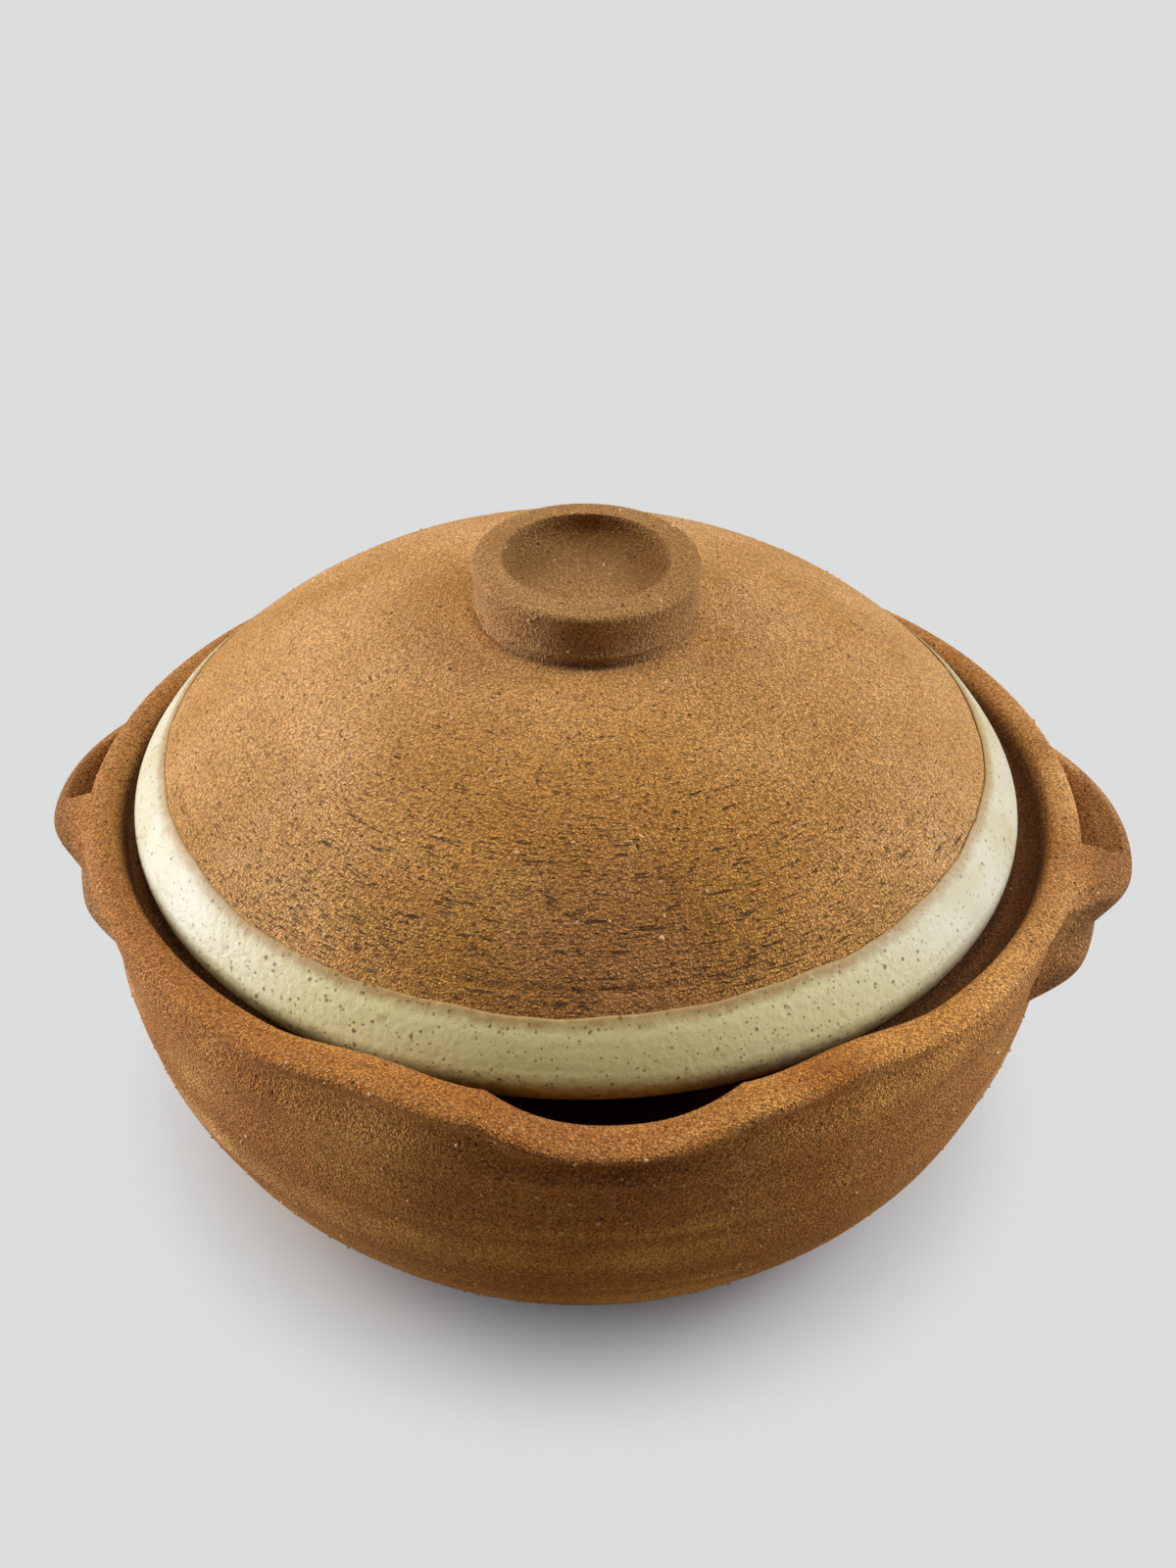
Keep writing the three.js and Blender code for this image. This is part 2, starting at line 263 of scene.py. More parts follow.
def linear(code):
    """An sRGB hex code as a linear colour."""
    parts = [int(code[i:i + 2], 16) / 255 for i in (1, 3, 5)]
    return tuple(c / 12.92 if c <= 0.04045 else ((c + 0.055) / 1.055) ** 2.4 for c in parts) + (1.0,)


def add(tree, kind, inputs=None, **settings):
    """A node with its settings; an input is a value or the socket that feeds it."""
    made = tree.nodes.new(kind)
    for name, value in settings.items():
        setattr(made, name, value)
    for name, value in (inputs or {}).items():
        if isinstance(value, bpy.types.NodeSocket):
            tree.links.new(value, made.inputs[name])
        else:
            made.inputs[name].default_value = value
    return made


def fresh_material(name, values):
    """A new material with its tree and its shader, some values of which are set."""
    material = bpy.data.materials.new(name)
    material.use_nodes = True
    shader = material.node_tree.nodes["Principled BSDF"]
    for field, value in values.items():
        shader.inputs[field].default_value = value
    return material, material.node_tree, shader


def millimetres(tree, centre=(0.0, 0.0)):
    """Object coordinates in millimetres from a turning axis."""
    place = add(tree, "ShaderNodeTexCoord").outputs["Object"]
    shift = (-centre[0], -centre[1], 0.0)
    scaled = {"Vector": place, "Location": shift, "Scale": (1 / MM,) * 3}
    return add(tree, "ShaderNodeMapping", scaled).outputs[0]


def on_wheel(tree, mm, rise):
    """Direction out of the turning axis, and the way along the profile.

    With a rise of 1 the way goes out and up, as on the pot, and with -1 out and down, as on the lid.
    """
    height = add(tree, "ShaderNodeSeparateXYZ", {0: mm}).outputs["Z"]
    level = add(tree, "ShaderNodeVectorMath", {0: mm, 1: (1.0, 1.0, 0.0)}, operation="MULTIPLY").outputs[0]
    radius = add(tree, "ShaderNodeVectorMath", {0: level}, operation="LENGTH").outputs["Value"]
    outward = add(tree, "ShaderNodeVectorMath", {0: level}, operation="NORMALIZE").outputs[0]
    way = add(tree, "ShaderNodeMath", {0: height, 1: rise, 2: radius}, operation="MULTIPLY_ADD").outputs[0]
    return outward, way


def marks_at(tree, wheel, along, over):
    """Coordinates of marks that are some millimetres long round the axis and over the profile."""
    outward, way = wheel
    around = {0: outward, "Scale": MARK_RADIUS / along}
    ring = add(tree, "ShaderNodeVectorMath", around, operation="SCALE").outputs[0]
    step = add(tree, "ShaderNodeMath", {0: way, 1: over}, operation="DIVIDE").outputs[0]
    lift = add(tree, "ShaderNodeCombineXYZ", {"Z": step}).outputs[0]
    return add(tree, "ShaderNodeVectorMath", {0: ring, 1: lift}, operation="ADD").outputs[0]


def dress(tree, shader, body, relief, height):
    """Give a shader its colour, and a relief of some height in metres."""
    tree.links.new(body, shader.inputs["Base Color"])
    bump = add(tree, "ShaderNodeBump", {"Height": relief, "Distance": height, "Strength": 1.0}).outputs[0]
    tree.links.new(bump, shader.inputs["Normal"])


def mottled(tree, place, width, detail, low, high, most=1.0):
    """Soft patches of some width: 0 where the noise is low, rising to the most where it is high."""
    noise = add(tree, "ShaderNodeTexNoise", {"Vector": place, "Scale": 1 / width, "Detail": detail})
    limits = {"Value": noise.outputs["Fac"], "From Min": low, "From Max": high, "To Max": most}
    return add(tree, "ShaderNodeMapRange", limits).outputs[0]


def spots(tree, place, spread, channel, span, least, edge, share=1.0):
    """Round spots, at most one to a cell as wide as the spread: the share inside a spot, and 0 outside.

    A spot's radius in cells lies between the least and a span more, as a channel of the cell's colour has
    it, and below zero there is no spot. Its border fades over the edge.
    """
    cell = add(tree, "ShaderNodeTexVoronoi", {"Vector": place, "Scale": 1 / spread})
    size = add(tree, "ShaderNodeSeparateColor", {0: cell.outputs["Color"]}).outputs[channel]
    reach = add(tree, "ShaderNodeMath", {0: size, 1: span, 2: least}, operation="MULTIPLY_ADD").outputs[0]
    away = cell.outputs["Distance"]
    inside = add(tree, "ShaderNodeMath", {0: reach, 1: away}, operation="SUBTRACT").outputs[0]
    limits = {"Value": inside, "From Min": edge[0], "From Max": edge[1], "To Max": share}
    return add(tree, "ShaderNodeMapRange", limits).outputs[0]


def clay_tint(tree, mm, wheel, tints, bands, beside):
    """Body colour in clouds of 40 mm, toasted in throwing bands 11 mm wide.

    Where its "wiped" attribute says so, a clay has the light and dark tint of the clay beside it.
    """
    cloud = mottled(tree, mm, 40, 3.0, 0.35, 0.65)
    toast = mottled(tree, marks_at(tree, wheel, 260, 11), 1, 2.0, 0.42, 0.62, bands)
    spared = add(tree, "ShaderNodeMath", {0: 1.0, 1: toast}, operation="SUBTRACT").outputs[0]
    pale = add(tree, "ShaderNodeMath", {0: cloud, 1: spared}, operation="MULTIPLY").outputs[0]
    bodies = []
    for light, dark in (tints, beside or tints):
        blend = {0: pale, 6: linear(dark), 7: linear(light)}
        bodies.append(add(tree, "ShaderNodeMix", blend, **COLOUR).outputs[2])
    wiped = add(tree, "ShaderNodeAttribute", attribute_name="wiped").outputs["Fac"]
    return add(tree, "ShaderNodeMix", {0: wiped, 6: bodies[0], 7: bodies[1]}, **COLOUR).outputs[2]


def scorched_and_shaded(tree, mm, body, middle, orange_and_shade_reach):
    """A colour with a dark patch 80 mm wide in a wider orange one, partly fire colour and partly painted
    shade.
    """
    away = add(tree, "ShaderNodeVectorMath", {0: mm, 1: middle}, operation="DISTANCE").outputs["Value"]
    orange_and_shade_patch = (orange_and_shade_reach, FLUSH_AND_SHADE_CORE * orange_and_shade_reach, FLUSH_AND_SHADE_TINT)
    for far, near, tint in (orange_and_shade_patch, (SCORCH_AND_SHADE_REACH, SCORCH_AND_SHADE_CORE, SCORCH_AND_SHADE_TINT)):
        limits = {"Value": away, "From Min": far, "From Max": near}
        burnt_and_shaded = add(tree, "ShaderNodeMapRange", limits, interpolation_type="SMOOTHSTEP").outputs[0]
        body = add(tree, "ShaderNodeMix", {0: burnt_and_shaded, 6: body, 7: tint}, **TINTED).outputs[2]
    return body


def sand_tooth(tree, mm):
    """Height of the fine tooth: rounded grains of 0.6 mm, as proud as chance has it, in mottled paste."""
    bed = add(tree, "ShaderNodeTexVoronoi", {"Vector": mm, "Scale": 1 / 0.6})
    own = add(tree, "ShaderNodeSeparateColor", {0: bed.outputs["Color"]}).outputs[2]
    away = bed.outputs["Distance"]
    limits = {"Value": away, "From Min": 0.15, "From Max": 0.75, "To Min": 1.0, "To Max": 0.0}
    crown = add(tree, "ShaderNodeMapRange", limits).outputs[0]
    proud = add(tree, "ShaderNodeMath", {0: crown, 1: own}, operation="MULTIPLY").outputs[0]
    mottle = {"Vector": mm, "Scale": 1 / 0.9, "Detail": 4.0, "Roughness": 0.7}
    paste = add(tree, "ShaderNodeTexNoise", mottle).outputs["Fac"]
    return add(tree, "ShaderNodeMath", {0: paste, 1: 1.4, 2: proud}, operation="MULTIPLY_ADD").outputs[0]


def sand_tone(tree, tooth, sand):
    """Factor of a clay's colour over its tooth: painted shade in dips; pale sand and painted highlight on
    tips.
    """
    height = add(tree, "ShaderNodeMath", {0: tooth, 1: 0.5}, operation="MULTIPLY").outputs[0]
    tone = add(tree, "ShaderNodeValToRGB", {"Fac": height})
    dips, tips = tone.color_ramp.elements
    dips.position = 0.26
    dips.color = (*(1 - shade * sand for shade in DIP_SHADE), 1)
    tips.position = 0.8
    tips.color = (*(1 + shine * sand for shine in TIP_SHINE), 1)
    return tone.outputs[0]


def with_tears(tree, mm, wheel, mark, tears):
    """Marks with drag marks 2.4 mm and cracks 12 mm long among them, thickest on the lower front."""
    depth = add(tree, "ShaderNodeSeparateXYZ", {0: mm}).outputs["Y"]
    limits = {"Value": depth, "From Min": 10.0, "From Max": -85.0, "To Min": -0.05, "To Max": 0.035}
    front = add(tree, "ShaderNodeMapRange", limits).outputs[0]
    for along, over, rarity in ((2.4, 0.6, 0.615), (12, 2.0, 0.665)):
        grit = {"Vector": marks_at(tree, wheel, along, over), "Scale": 1.0, "Detail": 3.0, "Roughness": 0.65}
        torn = add(tree, "ShaderNodeTexNoise", grit).outputs["Fac"]
        torn = add(tree, "ShaderNodeMath", {0: torn, 1: front}, operation="ADD").outputs[0]
        limits = {"Value": torn, "From Min": rarity, "From Max": rarity + 0.03, "To Max": tears}
        torn = add(tree, "ShaderNodeMapRange", limits).outputs[0]
        mark = add(tree, "ShaderNodeMath", {0: mark, 1: torn}, operation="MAXIMUM").outputs[0]
    return mark


def clay(name, tints, centre=(0.0, 0.0), rise=1.0, sand=1.0, bands=0.0, lines=0.0, tears=0.0,
         scorch_and_shade=None, beside=None):
    """Groggy stoneware clay, thrown, sponged and fired bare.

    Dry and matt. The sponge takes the fine clay away and leaves sand and pale grog standing proud,
    and the turning tool tears coarse grains out in short drag marks along its path. Sand scales the
    fine tooth, lines is the height of the turning lines, and bands and tears are shares from 0 to 1.
    """
    material, tree, shader = fresh_material(name, {"Roughness": 0.92, "IOR": 1.45})
    mm = millimetres(tree, centre)
    wheel = on_wheel(tree, mm, rise)
    body = clay_tint(tree, mm, wheel, tints, bands, beside)
    # Painted shade on the front, with some fire colour: a dark patch in a wider orange one
    if scorch_and_shade:
        body = scorched_and_shaded(tree, mm, body, *scorch_and_shade)
    # Painted shade: clay darkened where shade falls, in the gallery under the lid and at the back of the
    # knob's dish
    painted_shade = add(tree, "ShaderNodeAttribute", attribute_name="painted_shade").outputs["Fac"]
    tooth = sand_tooth(tree, mm)
    for share, tint in ((painted_shade, PAINTED_SHADE_TINT), (1.0, sand_tone(tree, tooth, sand))):
        body = add(tree, "ShaderNodeMix", {0: share, 6: body, 7: tint}, **TINTED).outputs[2]

    # Pale grains of up to 0.8 mm in about a third of the 2.4 mm cells, and pits of up to 0.9 mm where a grain
    # fell out, in cells of their own; the pits and the tears are painted dark, as painted shade
    specks = spots(tree, mm, 2.4, 0, 0.5, -0.34, (-0.03, 0.03))
    shifted = add(tree, "ShaderNodeMapping", {"Vector": mm, "Location": (37.0, 11.0, 53.0)}).outputs[0]
    mark = spots(tree, shifted, 2.4, 1, 0.45, -0.26, (-0.03, 0.04))
    if tears:
        mark = with_tears(tree, mm, wheel, mark, tears)
    for feature, strength, tint in ((specks, GRAIN_SHOW, PALE_GRAIN), (mark, MARK_SHOW, TORN_PIT_SHADE)):
        shown = add(tree, "ShaderNodeMath", {0: feature, 1: strength}, operation="MULTIPLY").outputs[0]
        body = add(tree, "ShaderNodeMix", {0: shown, 6: body, 7: linear(tint)}, **COLOUR).outputs[2]

    # Relief in millimetres, with turning lines 1.3 mm apart
    rings = {"Vector": marks_at(tree, wheel, 90, 1.3), "Scale": 1.0, "Detail": 2.0}
    line = add(tree, "ShaderNodeTexNoise", rings).outputs["Fac"]
    relief = add(tree, "ShaderNodeMath", {0: tooth, 1: TOOTH_HEIGHT * sand}, operation="MULTIPLY").outputs[0]
    for feature, height in ((specks, GRAIN_HEIGHT), (mark, -MARK_DEPTH), (line, lines)):
        raised = {0: feature, 1: height, 2: relief}
        relief = add(tree, "ShaderNodeMath", raised, operation="MULTIPLY_ADD").outputs[0]
    dress(tree, shader, body, relief, MM)
    return material


def cream_glaze(name):
    """Satin cream stoneware glaze over the same clay, dipped and fired.

    It is yellower and brighter in front, partly a yellower glaze and partly painted light, and ochre where it
    thins out over an edge, and darker under the lid's roll as painted shade; iron from the clay bleeds
    through as brown specks.
    """
    material, tree, shader = fresh_material(name, {"Roughness": 0.5, "IOR": 1.52})
    mm = millimetres(tree)
    # Pooling in patches of 18 mm
    pool = mottled(tree, mm, 18, 3.0, 0.35, 0.68)
    pooled, plain = GLAZE_TINTS
    body = add(tree, "ShaderNodeMix", {0: pool, 6: linear(plain), 7: linear(pooled)}, **COLOUR).outputs[2]
    # Yellower and brighter in front, partly painted light; ochre where the glaze thins out, under the roll
    # also as painted shade; broken up by patches of 2.5 mm
    thick_and_lit = add(tree, "ShaderNodeAttribute", attribute_name="thick_and_lit").outputs["Fac"]
    thin_and_shaded = add(tree, "ShaderNodeAttribute", attribute_name="thin_and_shaded").outputs["Fac"]
    ragged = add(tree, "ShaderNodeTexNoise", {"Vector": mm, "Scale": 1 / 2.5, "Detail": 3.0}).outputs["Fac"]
    bare = add(tree, "ShaderNodeMath", {0: ragged, 1: 0.9, 2: thin_and_shaded}, operation="MULTIPLY_ADD").outputs[0]
    limits = {"Value": bare, "From Min": 0.75, "From Max": 1.45, "To Max": 0.85}
    bare = add(tree, "ShaderNodeMapRange", limits).outputs[0]
    layers = [(thick_and_lit, THICK_AND_LIT_GLAZE), (bare, THIN_AND_SHADED_GLAZE)]
    # Crooked iron specks of up to 1 mm, and ochre freckles of up to 2 mm
    stir = add(tree, "ShaderNodeTexNoise", {"Vector": mm, "Scale": 1 / 0.8, "Detail": 2.0}).outputs["Color"]
    stirred = {0: stir, 1: (0.9,) * 3, 2: mm}
    crooked = add(tree, "ShaderNodeVectorMath", stirred, operation="MULTIPLY_ADD").outputs[0]
    for spread, span, least, share, tint in (
        (1.2, 0.5, -0.2, 0.7, "#846328"),
        (2.2, 0.42, -0.2, 0.85, "#634312"),
        (5.5, 0.34, -0.14, 0.35, "#a8843f"),
    ):
        layers.append((spots(tree, crooked, spread, 0, span, least, (-0.1, 0.05), share), tint))
    for shown, tint in layers:
        body = add(tree, "ShaderNodeMix", {0: shown, 6: body, 7: linear(tint)}, **COLOUR).outputs[2]
    # The clay's sand telegraphs through as a soft orange peel of 2 mm
    peel = add(tree, "ShaderNodeTexNoise", {"Vector": mm, "Scale": 1 / 2.0, "Detail": 2.0}).outputs["Fac"]
    dress(tree, shader, body, peel, 0.2 * MM)
    return material


def grog_grain(name):
    """Fired clay crushed to grains of about 1 mm: dry, and pale in patches of 6 mm."""
    material, tree, shader = fresh_material(name, {"Roughness": 0.9, "IOR": 1.45})
    pale = mottled(tree, millimetres(tree), 6, 1.0, 0.38, 0.62)
    light, dark = GROG_TINTS
    body = add(tree, "ShaderNodeMix", {0: pale, 6: linear(dark), 7: linear(light)}, **COLOUR).outputs[2]
    tree.links.new(body, shader.inputs["Base Color"])
    return material


pot_clay = clay("sponged_pot_clay", POT_TINTS, sand=1.15, bands=0.9, lines=0.5, scorch_and_shade=LIP_SCORCH_AND_SHADE)
handle_clay = clay("smoothed_handle_clay", HANDLE_TINTS, sand=1.15, bands=0.9, lines=0.5, beside=POT_TINTS)
lid_clay = clay(
    "turned_lid_clay", LID_TINTS, LID_PLACE, rise=-1.0, bands=0.25, lines=0.35, tears=1.0, scorch_and_shade=LID_SCORCH_AND_SHADE)
knob_clay = clay("thrown_knob_clay", KNOB_TINTS, LID_PLACE, rise=-1.0, sand=0.9, lines=0.3)
glaze = cream_glaze("dipped_cream_glaze")
grog = grog_grain("crushed_grog")


def tree_with(name, inputs, output):
    """A new Geometry Nodes tree with named inputs of some kinds, and a geometry as its output."""
    tree = bpy.data.node_groups.new(name, "GeometryNodeTree")
    for label, kind in inputs.items():
        tree.interface.new_socket(label, in_out="INPUT", socket_type="NodeSocket" + kind)
    tree.interface.new_socket(output, in_out="OUTPUT", socket_type="NodeSocketGeometry")
    return tree


def end_tree(tree, geometry, finish, output):
    """Turn what a tree made into one mesh of one material, and hand it out."""
    whole = add(tree, "GeometryNodeRealizeInstances", {"Geometry": geometry}).outputs[0]
    dressed = add(tree, "GeometryNodeSetMaterial", {"Geometry": whole, "Material": finish}).outputs[0]
    add(tree, "NodeGroupOutput", {output: dressed})


def turned_form():
    """Tree that turns a profile about Z: the profile is swept round a circle and welded at its poles."""
    inputs = {"Profile": "Geometry", "Segments": "Int", "Path Radius": "Float", "Finish": "Material"}
    tree = tree_with("turned_form", inputs, "Form")
    given = add(tree, "NodeGroupInput").outputs
    profile = add(tree, "GeometryNodeMeshToCurve", {"Mesh": given["Profile"]}).outputs[0]
    circle = {"Resolution": given["Segments"], "Radius": given["Path Radius"]}
    path = add(tree, "GeometryNodeCurvePrimitiveCircle", circle).outputs[0]
    swept = add(tree, "GeometryNodeCurveToMesh", {"Curve": path, "Profile Curve": profile}).outputs[0]
    closed = add(tree, "GeometryNodeMergeByDistance", {"Geometry": swept, "Distance": WELD * MM}).outputs[0]
    end_tree(tree, closed, given["Finish"], "Form")
    return tree


def grog_scatter():
    """Tree that strews grains over a surface, partly sunk, where its "grain" attribute allows."""
    numbers = dict.fromkeys(("Density", "Smallest", "Largest", "Sink"), "Float")
    inputs = {"Surface": "Geometry", **numbers, "Seed": "Int", "Grog": "Material"}
    tree = tree_with("grog_scatter", inputs, "Grains")
    given = add(tree, "NodeGroupInput").outputs
    seed = given["Seed"]
    named = add(tree, "GeometryNodeInputNamedAttribute", {"Name": "grain"}, data_type="FLOAT")
    allowed = {0: named.outputs["Attribute"], 1: given["Density"]}
    density = add(tree, "ShaderNodeMath", allowed, operation="MULTIPLY").outputs[0]
    strewn = {"Mesh": given["Surface"], "Density": density, "Seed": seed}
    beds = add(tree, "GeometryNodeDistributePointsOnFaces", strewn).outputs
    down = add(tree, "ShaderNodeMath", {0: given["Sink"], 1: -1.0}, operation="MULTIPLY").outputs[0]
    pushed = {0: beds["Normal"], "Scale": down}
    inward = add(tree, "ShaderNodeVectorMath", pushed, operation="SCALE").outputs[0]
    sunk = add(tree, "GeometryNodeSetPosition", {"Geometry": beds["Points"], "Offset": inward}).outputs[0]
    grain = add(tree, "GeometryNodeMeshIcoSphere", {"Radius": 1.0, "Subdivisions": 1}).outputs[0]
    spin = {1: (FULL_TURN,) * 3, "Seed": seed}
    turn = add(tree, "FunctionNodeRandomValue", spin, data_type="FLOAT_VECTOR").outputs[0]
    bounds = []
    for label in ("Smallest", "Largest"):
        bounds.append(add(tree, "ShaderNodeCombineXYZ", dict.fromkeys(range(3), given[label])).outputs[0])
    widths = {0: bounds[0], 1: bounds[1], "Seed": seed}
    size = add(tree, "FunctionNodeRandomValue", widths, data_type="FLOAT_VECTOR").outputs[0]
    laid = {"Points": sunk, "Instance": grain, "Rotation": turn, "Scale": size}
    grains_laid = add(tree, "GeometryNodeInstanceOnPoints", laid).outputs[0]
    end_tree(tree, grains_laid, given["Grog"], "Grains")
    return tree


turning = turned_form()
strewing = grog_scatter()


def made_by(tree, source, values):
    """The plain mesh that a tree makes of an object, which is used up."""
    modifier = source.modifiers.new(tree.name, "NODES")
    modifier.node_group = tree
    for item in tree.interface.items_tree:
        if item.in_out == "INPUT" and item.name in values:
            modifier[item.identifier] = values[item.name]
    shaped = source.evaluated_get(bpy.context.evaluated_depsgraph_get())
    mesh = bpy.data.meshes.new_from_object(shaped)
    bpy.data.objects.remove(source)
    return mesh


def placed(name, mesh):
    """An object at the origin for a mesh that holds its own place."""
    piece = bpy.data.objects.new(name, mesh)
    bpy.context.scene.collection.objects.link(piece)
    return piece


def points_of(mesh):
    """A mesh's corners in millimetres."""
    flat = np.empty(len(mesh.vertices) * 3, dtype=np.float32)
    mesh.vertices.foreach_get("co", flat)
    return flat.reshape(-1, 3).astype(float) / MM


def set_points(mesh, points):
    mesh.vertices.foreach_set("co", (points * MM).astype(np.float32).ravel())
    mesh.update()


def give(mesh, name, values):
    """A number for each corner of a mesh."""
    held = mesh.attributes.get(name) or mesh.attributes.new(name, "FLOAT", "POINT")
    held.data.foreach_set("value", np.asarray(values, dtype=np.float32))


def volume(mesh):
    mesh.calc_loop_triangles()
    corners = np.empty(len(mesh.loop_triangles) * 3, dtype=np.int32)
    mesh.loop_triangles.foreach_get("vertices", corners)
    a, b, c = np.moveaxis(points_of(mesh)[corners.reshape(-1, 3)], 1, 0)
    return np.einsum("ij,ij->", a, np.cross(b, c)) / 6


def softened(mesh):
    """Faces outwards and shaded smooth."""
    if volume(mesh) < 0:
        mesh.flip_normals()
    mesh.polygons.foreach_set("use_smooth", np.ones(len(mesh.polygons), dtype=bool))
    mesh.update()
    return mesh


def smoothstep(value, low, high):
    share = np.clip((value - low) / (high - low), 0, 1)
    return share * share * (3 - 2 * share)


def swelling(distance, length):
    """Depth of a rounded dent at a distance from its middle: 1 there, 0 at its ends."""
    return np.cos(np.minimum(np.abs(distance) / (length / 2), 1) * math.pi / 2) ** 2


def evenly(points, spacing):
    """A polyline's points laid again at an even spacing, ends kept."""
    points = np.asarray(points, dtype=float)
    along = np.concatenate([[0], np.cumsum(np.linalg.norm(np.diff(points, axis=0), axis=1))])
    at = np.linspace(0, along[-1], max(int(round(along[-1] / spacing)), 1) + 1)
    return np.stack([np.interp(at, along, points[:, i]) for i in range(2)], axis=1)


def joined(runs):
    """Runs of profile points, each with its spacing and how far the hand shaped it, as one profile."""
    points, hand = [], []
    for run, spacing, share in runs:
        laid = evenly(run, spacing)
        start = 1 if points and np.allclose(points[-1][-1], laid[0], atol=0.05) else 0
        points.append(laid[start:])
        hand.append(np.linspace(share[0], share[1], len(laid))[start:])
    return np.concatenate(points), np.concatenate(hand)


def arc(centre, half, start, end, power=2.0, steps=40):
    """A rounded corner from one angle to another; a power above 2 flattens it."""
    turn = np.linspace(start, end, steps)
    c, s = np.cos(turn), np.sin(turn)
    x = centre[0] + half[0] * np.sign(c) * np.abs(c) ** (2 / power)
    return np.stack([x, centre[1] + half[1] * np.sign(s) * np.abs(s) ** (2 / power)], axis=1)


def bowed(start, middle, end, steps=40):
    """A curve that leaves its start towards the middle point and comes from there to its end."""
    t = np.linspace(0, 1, steps)[:, None]
    return (1 - t) ** 2 * np.array(start) + 2 * t * (1 - t) * np.array(middle) + t * t * np.array(end)


def flowing(points, steps):
    """A smooth line through some points, by a Catmull-Rom spline, with the same number of steps to each."""
    points = np.asarray(points, dtype=float)
    held = np.concatenate([2 * points[:1] - points[1:2], points, 2 * points[-1:] - points[-2:-1]])
    t = np.linspace(0, 1, steps, endpoint=False)[:, None]
    runs = []
    for a, b, c, d in zip(held, held[1:], held[2:], held[3:]):
        runs.append(b + 0.5 * t * (c - a + t * (2 * a - 5 * b + 4 * c - d + t * (3 * (b - c) + d - a))))
    return np.concatenate(runs + [points[-1:]])


def turned(points, hand, segments, finish):
    """A profile of (radius, height) points turned about Z: its mesh, corners and the hand's share there."""
    source = bpy.data.meshes.new("profile")
    corners = [(r * MM - PATH_RADIUS, -z * MM, 0.0) for r, z in points]
    source.from_pydata(corners, [(i, i + 1) for i in range(len(corners) - 1)], [])
    give(source, "hand", hand)
    values = {"Segments": segments, "Path Radius": PATH_RADIUS, "Finish": finish}
    mesh = made_by(turning, placed("profile", source), values)
    shares = np.empty(len(mesh.vertices), dtype=np.float32)
    mesh.attributes["hand"].data.foreach_get("value", shares)
    return mesh, points_of(mesh), shares.astype(float)


def wall_curve(foot, full, low, high, steps=120):
    """A thrown wall: it leaves the foot flat and arrives upright."""
    t = np.linspace(0, 1, steps) ** 2
    radius = foot + (full - foot) * (1 - (1 - t) ** 2) ** WALL_FULLNESS
    return np.stack([radius, low + (high - low) * t], axis=1)


def inner_wall(coat):
    """Profile inside the pot from its floor to the gallery, standing as far in front of the clay as a coat's
    depth.
    """
    return wall_curve(INNER_FOOT - coat, INNER_RADIUS - coat, FLOOR + coat, INNER_TOP)


def outer_wall():
    belly = (BELLY_RADIUS, BELLY_HEIGHT)
    flare = (BELLY_RADIUS + NECK_FLARE, RIM_HEIGHT - 3 * RIM_ROLL)
    neck = bowed(belly, flare, (RIM_RADIUS, RIM_HEIGHT - RIM_ROLL))
    return np.concatenate([wall_curve(BASE_RADIUS, BELLY_RADIUS, 0, BELLY_HEIGHT), neck[1:]])


OUTER_WALL = outer_wall()


def wall_radius(height):
    return np.interp(height, OUTER_WALL[:, 1], OUTER_WALL[:, 0])


def rim_crest():
    centre = (RIM_MIDDLE, RIM_HEIGHT - RIM_ROLL)
    return arc(centre, (RIM_THICKNESS / 2, RIM_ROLL), 0, math.pi, RIM_SQUARENESS)


def hand_wobble(angle, height):
    """How far a thrown wall stands out of round, with the throwing rings that the fingers left."""
    swell = 0.3 * np.sin(2 * angle + 0.7) + 0.22 * np.sin(3 * angle - 1.1 + height / 70)
    swell = swell + 0.12 * np.sin(7 * angle + height / 30)
    rings = 0.16 * np.sin(height / 1.55 + angle) * np.sin(height / 11 + 2 * angle) ** 2
    rings = rings + 0.1 * np.sin(height / 3.4 - 2 * angle)
    return swell + rings


